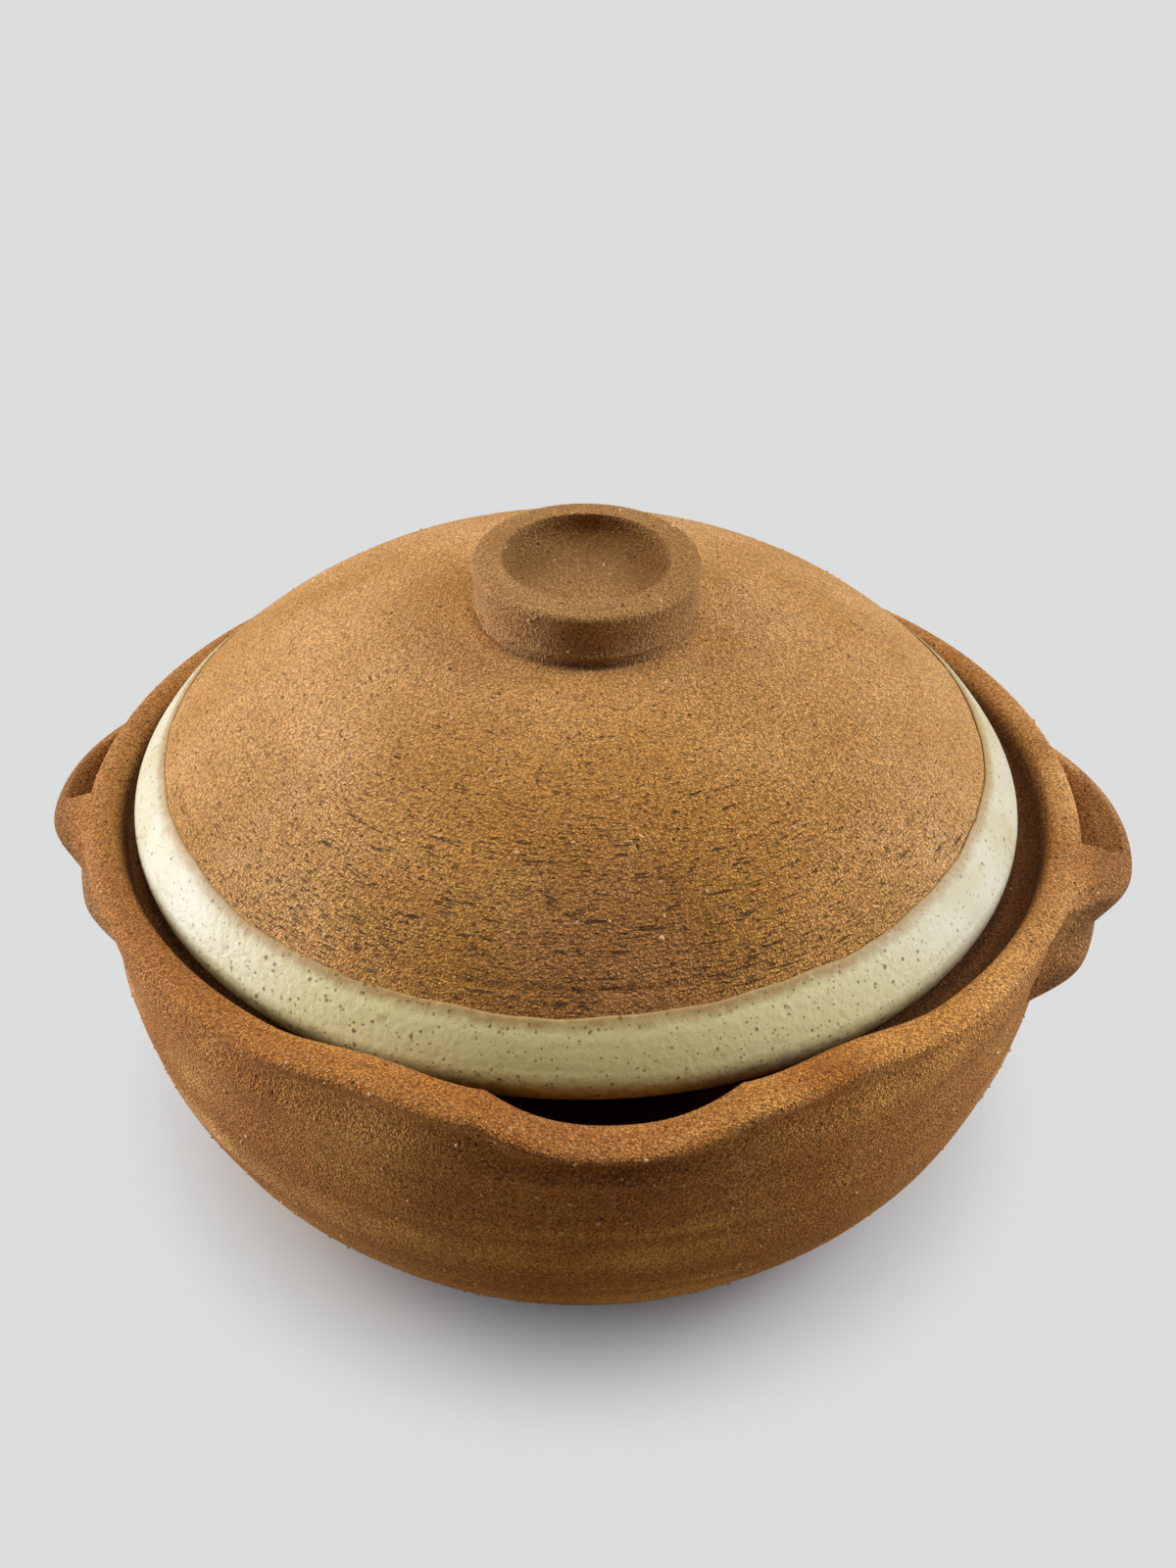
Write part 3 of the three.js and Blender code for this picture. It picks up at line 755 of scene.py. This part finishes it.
def shape_pot(points, hand):
    """Hand work on the pot: wobble above the trimmed foot, the tilted and oval rim, the pressed pouring lip
    with its shoulders and the gap behind it, and the hollows under the rim and the lip.
    """
    x, y, z = points.T
    radius = np.maximum(np.hypot(x, y), 1)
    angle = np.arctan2(y, x)
    away = np.abs(angle - LIP_DIRECTION) * RIM_RADIUS
    lip = 1 - np.minimum(away / (LIP_LENGTH / 2), 1) ** LIP_FULLNESS
    shoulder = swelling(away - (LIP_LENGTH + SHOULDER_LENGTH) / 2, SHOULDER_LENGTH)
    upward = smoothstep(z, INNER_TOP, RIM_HEIGHT)
    crest = smoothstep(z, LEDGE_HEIGHT, RIM_HEIGHT)
    outside = radius > RIM_MIDDLE
    inner = np.clip((RIM_RADIUS - radius) / RIM_THICKNESS, 0, 1)
    oval = inner * crest * (RIM_OVAL * np.cos(angle) ** 2 - RIM_LEAN * np.minimum(np.sin(angle), 0) ** 2)
    pressed = np.where(radius > NOSE_RADIUS, (LIP_PULL * lip - SHOULDER_PINCH * shoulder) * upward, 0)
    under_lip = swelling(away, LIP_HOLLOW_LENGTH) * swelling(z - LIP_HOLLOW_HEIGHT, LIP_HOLLOW_SPAN)
    in_front = smoothstep(-np.sin(angle), 0.25, 0.65)
    under_rim = in_front * swelling(z - RIM_HOLLOW_HEIGHT, RIM_HOLLOW_SPAN)
    hollow = np.maximum(LIP_HOLLOW * under_lip, RIM_HOLLOW * under_rim) * outside
    wobble = smoothstep(z, 4, 24) * hand_wobble(angle, z)
    scale = 1 + (oval + pressed + hand * (wobble - hollow)) / radius
    settle = np.where(outside, upward, crest)
    gap = LIP_GAP * lip * smoothstep(z, INNER_TOP, LEDGE_HEIGHT) * (1 - crest) * (radius < RIM_MIDDLE)
    lowered = LIP_DROP * lip * upward + gap + RIM_TILT * np.sin(angle) * settle
    return np.stack([x * scale, y * scale, z - lowered + SHOULDER_RISE * shoulder * crest], axis=1)


def pot_bowl():
    """Thrown wall from the flat base over the rim and the gallery ledge to the floor inside."""
    fillet = LEDGE_FILLET
    nose = GALLERY_NOSE
    nose_low = LEDGE_HEIGHT - GALLERY_THICKNESS
    gallery = np.concatenate([
        arc((LEDGE_CORNER - fillet, LEDGE_HEIGHT + fillet), (fillet, fillet), 0, -math.pi / 2),
        arc((NOSE_RADIUS + nose, LEDGE_HEIGHT - nose), (nose, nose), math.pi / 2, math.pi),
        arc((NOSE_RADIUS + nose, nose_low + nose), (nose, nose), math.pi, 1.5 * math.pi),
    ])
    inside = inner_wall(0)[::-1]
    runs = [
        ([(0, 0), (BASE_RADIUS, 0)], 10, (0, 0)),
        (OUTER_WALL, 1.3, (1, 1)),
        (rim_crest(), 0.8, (1, 0)),
        (gallery, 1.0, (0, 0)),
        ([gallery[-1], inside[0]], 2, (0, 0)),
        (inside, 3.5, (0, 0)),
        ([inside[-1], (0, FLOOR)], 12, (0, 0)),
    ]
    mesh, points, hand = turned(*joined(runs), POT_SEGMENTS, pot_clay)
    set_points(mesh, shape_pot(points, hand))
    height = points_of(mesh)[:, 2]
    give(mesh, "grain", smoothstep(hand, 0.3, 0.8) * smoothstep(height, 2, 10))
    # Painted shade on the gallery under the lid
    give(mesh, "painted_shade", smoothstep(hand, 0.3, 0.05) * smoothstep(height, 60, 80))
    return placed("pot_bowl_clay", softened(mesh))


def pot_lining():
    """Glaze coat on the floor and the wall inside the pot."""
    coat = GLAZE_GAP + GLAZE
    outside = inner_wall(GLAZE_GAP)
    inside = inner_wall(coat)[::-1]
    runs = [
        ([(0, FLOOR + GLAZE_GAP), outside[0]], 12, (0, 0)),
        (outside, 4, (0, 0)),
        ([outside[-1], inside[0]], 0.3, (1, 1)),
        (inside, 2, (1, 0)),
        ([inside[-1], (0, FLOOR + coat)], 6, (0, 0)),
    ]
    mesh, _, at_top = turned(*joined(runs), LINING_SEGMENTS, glaze)
    give(mesh, "thin_and_shaded", at_top ** 8)
    return placed("pot_lining_glaze", softened(mesh))


def loft(rings):
    """Corners and faces of a closed body through rings of points, capped at both ends."""
    count, sides = len(rings), len(rings[0])
    faces = []
    for i in range(count - 1):
        for j in range(sides):
            k = (j + 1) % sides
            faces.append((i * sides + j, i * sides + k, (i + 1) * sides + k, (i + 1) * sides + j))
    faces.append(tuple(reversed(range(sides))))
    faces.append(tuple((count - 1) * sides + j for j in range(sides)))
    return np.asarray(rings, dtype=float).reshape(-1, 3), faces


def strap_inside(upper, crest, open_share):
    """Inside of a strap, from the rim's crest to its own.

    The open share runs from a strap that lies closed against the rim to one with a deep pocket behind it.
    """
    top = HANDLE_TOP
    floor = top - POCKET_DEPTH
    rim = (RIM_MIDDLE - 1.5, RIM_HEIGHT - 0.25)
    pocket = flowing([
        rim,
        (RIM_RADIUS - 2.2, RIM_HEIGHT - 1.6),
        (RIM_RADIUS - 0.5, RIM_HEIGHT - 4.6),
        (wall_radius(top - 7) - 0.4, top - 7),
        (wall_radius(floor) + 0.1, floor),
        (wall_radius(floor) + 1.2, floor + 0.6),
        (wall_radius(top - 6) + 0.24 * upper, top - 7),
        (crest[0] - 1.5, top - 1.2),
        crest,
    ], 3)
    halfway = (RIM_MIDDLE + 0.5 * (crest[0] - RIM_MIDDLE), RIM_HEIGHT - 0.3)
    bridge = bowed(rim, halfway, crest, len(pocket))
    return bridge + open_share * (pocket - bridge)


def strap_section(upper, lower, open_share):
    """Section of a strap handle, as (radius, height) points from the rim's crest out and down to the wall.

    Upper and lower say how far its ridges stand out of the wall; less than nothing buries them.
    """
    top = HANDLE_TOP
    crest = (wall_radius(top - 1) + upper - STRAP_CREST, top)
    # How far below the top its points lie, and how far out of the wall
    lay = (
        (1.2, upper - 1.0),
        (4.2, upper),
        (8.2, 0.72 * upper + 0.2 * lower),
        (12.0, 0.45 * upper + 0.42 * lower - 0.6),
        (16.0, 0.1 * upper + 0.9 * lower),
        (20.0, lower),
        (24.5, 0.72 * lower - 0.3),
        (HANDLE_ROOT, -1.3),
    )
    points = [crest] + [(wall_radius(top - down) + out, top - down) for down, out in lay]
    outside = flowing(points, 5)[1:]
    buried = [(RIM_MIDDLE - 2, top - HANDLE_ROOT), (RIM_MIDDLE - 2, RIM_HEIGHT - 2)]
    return np.concatenate([strap_inside(upper, crest, open_share), outside, buried])


def ridge_height(ridge, stations):
    """Share of the reach that a ridge stands out of the wall at some stations."""
    line = flowing(ridge, 12)
    return np.interp(stations, line[:, 0], line[:, 1])


def handle(name, side, reach, places):
    """A pulled strap with two ridges, bowed out from the rim and wiped into it at both ends.

    Stations run from its back end, -1, to its front end, 1, and lie closer where the pocket closes. It leaves
    the rim gently at the back, closes up with it behind a blunt nose in front, and its lower ridge runs on a
    little as a lobe.
    """
    stations = np.unique(np.concatenate([np.linspace(BACK_END, FRONT_END, 110), np.linspace(0.3, 0.46, 30)]))
    turns = (places[0] - BACK_TUCK, *places, places[3] + FRONT_TUCK)
    turn = np.radians(np.interp(stations, (BACK_END, *PLACE_STATIONS, FRONT_END), turns))
    angle = -turn if side > 0 else math.pi + turn
    upper = reach * ridge_height(UPPER_RIDGE, stations)
    lower = reach * ridge_height(LOWER_RIDGE, stations)
    open_share = smoothstep(stations, *POCKET_OPENS) * (1 - smoothstep(stations, *POCKET_CLOSES))
    rings, proud = [], []
    for a, up, low, share in zip(angle, upper, lower, open_share):
        r, z = strap_section(up, low, share).T
        rings.append(np.stack([r * math.cos(a), r * math.sin(a), z], axis=1))
        proud.append(r - wall_radius(z))
    points, faces = loft(rings)
    whole = np.ones(len(points))
    mesh = bpy.data.meshes.new(name)
    mesh.from_pydata([tuple(p) for p in shape_pot(points, whole) * MM], [], faces)
    give(mesh, "wiped", 1 - smoothstep(np.concatenate(proud), 0.5, 6))
    give(mesh, "grain", whole)
    mesh.materials.append(handle_clay)
    return placed(name, softened(mesh))


def dome_curve(edge, low, height, start, end, steps=80):
    """A domed profile over an edge radius, between two radii."""
    r = np.linspace(start, end, steps)
    return np.stack([r, low + height * (1 - np.minimum(r / edge, 1) ** DOME_ROUND) ** DOME_SOFTNESS], axis=1)


# Height of the lid where the knob stands
CROWN = dome_curve(ROLL_END[0], ROLL_END[1], DOME_HEIGHT, CROWN_RADIUS, 0, 2)[0][1]


def underside(coat):
    """Profile under the lid from its middle to its seat, as deep below the clay as a coat."""
    edge = SEAT_INNER - coat
    return dome_curve(edge, LEDGE_HEIGHT, CROWN - LID_WALL - LEDGE_HEIGHT - coat, 0, edge)


def shape_lid(points, hand):
    """Hand work on the lid: turning wobble, and its place on the pot."""
    x, y, z = points.T
    angle = np.arctan2(y, x)
    radius = np.hypot(x, y)
    swell = 0.22 * np.sin(2 * angle - 0.4) + 0.14 * np.sin(3 * angle + radius / 25)
    swell = swell + 0.1 * np.sin(radius / 4.4 + angle)
    return np.stack([x + LID_PLACE[0], y + LID_PLACE[1], z + hand * swell], axis=1)


def lid_dome():
    """Thrown dome with its bare seat, rolled edge and the groove beside the glaze."""
    outside = dome_curve(ROLL_END[0], ROLL_END[1], DOME_HEIGHT, ROLL_END[0], CROWN_RADIUS, 400)
    groove = GROOVE_DEPTH * swelling(outside[:, 0] - GROOVE_RADIUS, 2 * GROOVE_WIDTH)
    outside = outside - np.stack([0.5 * groove, 0.85 * groove], axis=1)
    roll = arc(ROLL_CENTRE, (LID_ROLL, LID_ROLL), -math.pi / 2, ROLL_TOP)
    near = outside[:, 0] > GROOVE_RADIUS - 4
    runs = [
        (underside(0), 3, (0, 0)),
        ([(SEAT_INNER, LEDGE_HEIGHT), roll[0]], 1.5, (0, 0)),
        (roll, 1.2, (0, 0)),
        (outside[near], 0.35, (0, 0.5)),
        (outside[~near], 1.1, (0.5, 0.6)),
        ([outside[-1], (0, CROWN)], 4, (0.6, 0.6)),
    ]
    mesh, points, hand = turned(*joined(runs), DOME_SEGMENTS, lid_clay)
    beside_knob = smoothstep(np.hypot(points[:, 0], points[:, 1]), CROWN_RADIUS, CROWN_RADIUS + 4)
    give(mesh, "grain", smoothstep(hand, 0.02, 0.2) * beside_knob)
    set_points(mesh, shape_lid(points, hand))
    return placed("lid_dome_clay", softened(mesh))


def glaze_line(angle):
    """How far the dipped line strays up the dome round the lid."""
    slow = 1.2 * np.sin(angle + 0.9) + 0.5 * np.sin(2 * angle + 2.2)
    quick = 0.28 * np.sin(9 * angle) + 0.22 * np.sin(17 * angle + 1.3) + 0.12 * np.sin(41 * angle + 0.5)
    return slow + quick


def lid_glaze_band():
    """Glaze coat over the rolled edge and a little way up the dome, with a straying upper line."""
    edge = ROLL_END[0]
    lower = arc(ROLL_CENTRE, (LID_ROLL, LID_ROLL), -BAND_UNDER, ROLL_TOP)
    upper = dome_curve(edge, ROLL_END[1], DOME_HEIGHT, edge, edge - BAND_WIDTH)
    clay_line = evenly(np.concatenate([lower, upper[1:]]), BAND_SPACING)
    step = np.gradient(clay_line, axis=0)
    outward = np.stack([step[:, 1], -step[:, 0]], axis=1) / np.linalg.norm(step, axis=1)[:, None]
    share = np.linspace(0, 1, len(clay_line))
    feather = np.minimum(1, np.minimum(share / LOWER_FEATHER, (1 - share) / UPPER_FEATHER)) ** 0.5
    coat = GLAZE * feather + EDGE_COAT
    outer = clay_line + outward * (GLAZE_GAP + coat)[:, None]
    inner = clay_line + outward * GLAZE_GAP
    ring = np.concatenate([outer, inner[::-1], outer[:1]])
    shares = np.concatenate([share, share[::-1], share[:1]])
    mesh, points, at = turned(ring, shares, BAND_SEGMENTS, glaze)
    x, y, z = points.T
    stray = glaze_line(np.arctan2(y, x)) * smoothstep(at, 0.35, 1)
    scale = 1 - stray * math.cos(BAND_SLOPE) / np.hypot(x, y)
    points = np.stack([x * scale, y * scale, z + stray * math.sin(BAND_SLOPE)], axis=1)
    at_line = smoothstep(at, 0.74, 0.98)
    # Under the roll the glaze is thinner, and darker also as painted shade
    roll_thin_and_shaded = 0.85 * smoothstep(at, 0.42, 0.1)
    give(mesh, "thin_and_shaded", np.maximum(at_line, roll_thin_and_shaded))
    # Painted light on the front of the band, partly a yellower glaze
    give(mesh, "thick_and_lit", FRONT_THICK_AND_LIT * smoothstep(-points[:, 1], 60, 112))
    set_points(mesh, shape_lid(points, np.zeros(len(points))))
    return placed("lid_band_glaze", softened(mesh))


def lid_lining():
    """Glaze coat under the lid."""
    coat = GLAZE_GAP + GLAZE
    runs = [
        (underside(coat), 2, (0, 0)),
        ([underside(coat)[-1], underside(GLAZE_GAP)[-1]], 0.3, (1, 1)),
        (underside(GLAZE_GAP)[::-1], 4, (0, 0)),
    ]
    mesh, points, at_seat = turned(*joined(runs), LINING_SEGMENTS, glaze)
    give(mesh, "thin_and_shaded", at_seat)
    set_points(mesh, shape_lid(points, np.zeros(len(points))))
    return placed("lid_lining_glaze", softened(mesh))


def lid_knob():
    """Ring knob with a narrow foot, a ridge and a dished top."""
    top = CROWN + KNOB_HEIGHT
    side = [(KNOB_RADIUS + out, CROWN + up) for out, up in KNOB_SIDE]
    foot = (side[0][0], CROWN - KNOB_SINK)
    edge = (KNOB_RADIUS - KNOB_EDGE, top - KNOB_TOP_RISE)
    dish = (RECESS_RADIUS + RECESS_EDGE, top)
    floor = (RECESS_RADIUS, RECESS_DEPTH - RECESS_EDGE)
    runs = [
        ([(0, CROWN - KNOB_SINK), foot], 5, (0, 0)),
        (bowed(foot, (foot[0] - 1, CROWN + 1.2), side[0]), 0.4, (0, 0.4)),
        (flowing(side, 10), 0.4, (0.4, 0.6)),
        (arc((edge[0], edge[1] - KNOB_EDGE), (KNOB_EDGE,) * 2, 0, math.pi / 2), 0.3, (0.6, 0.6)),
        (bowed(edge, (KNOB_RADIUS - 4.5, top - 0.1), dish), 0.5, (0.6, 0.6)),
        (arc((dish[0], top - RECESS_EDGE), (RECESS_EDGE,) * 2, math.pi / 2, math.pi), 0.15, (0.6, 0.5)),
        (arc((0, top - RECESS_EDGE), floor, 0, -math.pi / 2, RECESS_SQUARENESS), 0.5, (0.5, 0.4)),
    ]
    mesh, points, hand = turned(*joined(runs), KNOB_SEGMENTS, knob_clay)
    give(mesh, "grain", smoothstep(hand, 0.1, 0.4) * 0.8)
    # Painted shade at the back of the knob's dish
    in_dish = smoothstep(np.hypot(points[:, 0], points[:, 1]), RECESS_RADIUS + 0.2, RECESS_RADIUS - 1)
    at_back = smoothstep(points[:, 1], -14, 12)
    give(mesh, "painted_shade", DISH_PAINTED_SHADE * in_dish * at_back)
    points[:, 0] += KNOB_SHIFT
    set_points(mesh, shape_lid(points, hand))
    return placed("lid_knob_clay", softened(mesh))


def grains(name, surfaces, seed):
    """Grog strewn over the bare clay of one body, as one mesh; each surface has its share of the density."""
    corners, faces = [], []
    for i, (surface, share) in enumerate(surfaces):
        values = {"Density": GRAIN_DENSITY * share, "Sink": GRAIN_SINK * MM, "Seed": seed + i, "Grog": grog}
        values.update({"Smallest": GRAIN_SMALLEST * MM, "Largest": GRAIN_LARGEST * MM})
        mesh = made_by(strewing, placed("grain_bed", surface.data.copy()), values)
        faces += [tuple(v + len(corners) for v in face.vertices) for face in mesh.polygons]
        corners += [tuple(v.co) for v in mesh.vertices]
    whole = bpy.data.meshes.new(name)
    whole.from_pydata(corners, [], faces)
    whole.materials.append(grog)
    return placed(name, softened(whole))


bowl = pot_bowl()
lining = pot_lining()
left = handle("left_handle_clay", -1, LEFT_REACH, LEFT_PLACES)
right = handle("right_handle_clay", 1, RIGHT_REACH, RIGHT_PLACES)
dome = lid_dome()
knob = lid_knob()
band = lid_glaze_band()
lid_coat = lid_lining()
pot_grains = grains("pot_grog", [(bowl, 1.0), (left, HANDLE_GRAINS), (right, HANDLE_GRAINS)], POT_SEED)
lid_grains = grains("lid_grog", [(dome, 1.0), (knob, 1.0)], LID_SEED)

for piece, body, slot, nodes in (
    (bowl, "pot", "pot_clay", ["pot_bowl"]),
    (lining, "pot", "cream_glaze", ["pot_lining"]),
    (left, "pot", "handle_clay", ["left_handle"]),
    (right, "pot", "handle_clay", ["right_handle"]),
    (pot_grains, "pot", "pot_clay", []),
    (dome, "lid", "lid_clay", ["lid_dome"]),
    (knob, "lid", "lid_clay", ["lid_knob"]),
    (band, "lid", "cream_glaze", ["lid_glaze_band"]),
    (lid_coat, "lid", "cream_glaze", ["lid_lining"]),
    (lid_grains, "lid", "lid_clay", []),
):
    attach(piece, body)
    if nodes:
        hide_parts(*nodes)


def table_top():
    """A wide matt table. It shows pale and even away from the pot, and throws little light back."""
    material, tree, shader = fresh_material("matt_pale_table", {"Roughness": 0.9})
    seen = add(tree, "ShaderNodeLightPath").outputs["Is Camera Ray"]
    tints = {0: seen, 6: linear(TABLE_BOUNCE), 7: linear(TABLE_TINT)}
    tree.links.new(add(tree, "ShaderNodeMix", tints, **COLOUR).outputs[2], shader.inputs["Base Color"])
    place = add(tree, "ShaderNodeTexCoord").outputs["Object"]
    far = add(tree, "ShaderNodeVectorMath", {0: place}, operation="LENGTH").outputs["Value"]
    limits = {"Value": far, "From Min": SHADE_CORE, "From Max": SHADE_REACH}
    far = add(tree, "ShaderNodeMapRange", limits, interpolation_type="SMOOTHSTEP").outputs[0]
    shown = add(tree, "ShaderNodeMath", {0: far, 1: seen}, operation="MULTIPLY").outputs[0]
    even = add(tree, "ShaderNodeEmission", {"Color": linear(BACKDROP)}).outputs[0]
    mixed = add(tree, "ShaderNodeMixShader", {0: shown, 1: shader.outputs[0], 2: even}).outputs[0]
    tree.links.new(mixed, tree.nodes["Material Output"].inputs["Surface"])
    half = TABLE_WIDTH / 2
    corners = [(-half, -half, 0), (half, -half, 0), (half, half, 0), (-half, half, 0)]
    mesh = bpy.data.meshes.new("table_top")
    mesh.from_pydata(corners, [], [(0, 1, 2, 3)])
    mesh.materials.append(material)
    return placed("table_top", mesh)


def softbox(name, place, size, power, tint):
    """A rectangular lamp that faces the pot: its place and size are in metres, its power is in watts."""
    lamp = bpy.data.lights.new(name, "AREA")
    lamp.shape = "RECTANGLE"
    lamp.color = linear(tint)[:3]
    lamp.size, lamp.size_y = size
    lamp.energy = power
    holder = bpy.data.objects.new(name, lamp)
    holder.location = place
    holder.rotation_euler = (Vector(LAMP_AIM) - Vector(place)).to_track_quat("-Z", "Y").to_euler()
    bpy.context.scene.collection.objects.link(holder)


def dim_studio():
    """A dim, warm room, which looks as pale as the table."""
    world = bpy.data.worlds.new("dim_studio")
    world.use_nodes = True
    tree = world.node_tree
    room = tree.nodes["Background"]
    room.inputs["Color"].default_value = linear(ROOM_TINT)
    room.inputs["Strength"].default_value = ROOM_STRENGTH
    plain = add(tree, "ShaderNodeBackground", {"Color": linear(BACKDROP)}).outputs[0]
    seen = add(tree, "ShaderNodeLightPath").outputs["Is Camera Ray"]
    mixed = add(tree, "ShaderNodeMixShader", {0: seen, 1: room.outputs[0], 2: plain}).outputs[0]
    tree.links.new(mixed, tree.nodes["World Output"].inputs["Surface"])
    return world


def photo_camera():
    """The camera that took the photo: it looks down on the lip's side at 37 degrees and leans by 1."""
    lens = bpy.data.cameras.new("camera")
    lens.sensor_width = SENSOR
    lens.lens = SENSOR * FOCAL_PIXELS / PHOTO_HEIGHT
    lens.clip_start = 0.01
    level = math.cos(CAMERA_PITCH)
    ahead = Vector((math.sin(CAMERA_YAW) * level, math.cos(CAMERA_YAW) * level, -math.sin(CAMERA_PITCH)))
    across = Vector((math.cos(CAMERA_YAW), -math.sin(CAMERA_YAW), 0))
    above = across.cross(ahead)
    c, s = math.cos(CAMERA_ROLL), math.sin(CAMERA_ROLL)
    turn = Matrix((across * c + above * s, above * c - across * s, -ahead)).transposed().to_4x4()
    camera = bpy.data.objects.new("camera", lens)
    camera.matrix_world = Matrix.Translation(CAMERA_PLACE) @ turn
    bpy.context.scene.collection.objects.link(camera)
    return camera


table_top()
softbox("light_left", (-1.5, 0.2, 0.22), (0.8, 0.4), 24, "#eaf0ff")
softbox("light_right", (1.5, 0.12, 0.26), (0.8, 0.45), 11.5, "#eef2ff")
softbox("light_high_left", (-1.2, 0.3, 1.0), (0.8, 0.8), 11, "#fff6ea")
softbox("light_high_right", (1.2, 0.3, 1.0), (0.8, 0.8), 15, "#f4f8ff")
softbox("light_top", (0.0, 0.05, 1.7), (0.6, 0.6), 10, "#fff6e6")
bpy.context.scene.world = dim_studio()
bpy.context.scene.view_settings.view_transform = "Standard"
bpy.context.scene.camera = photo_camera()
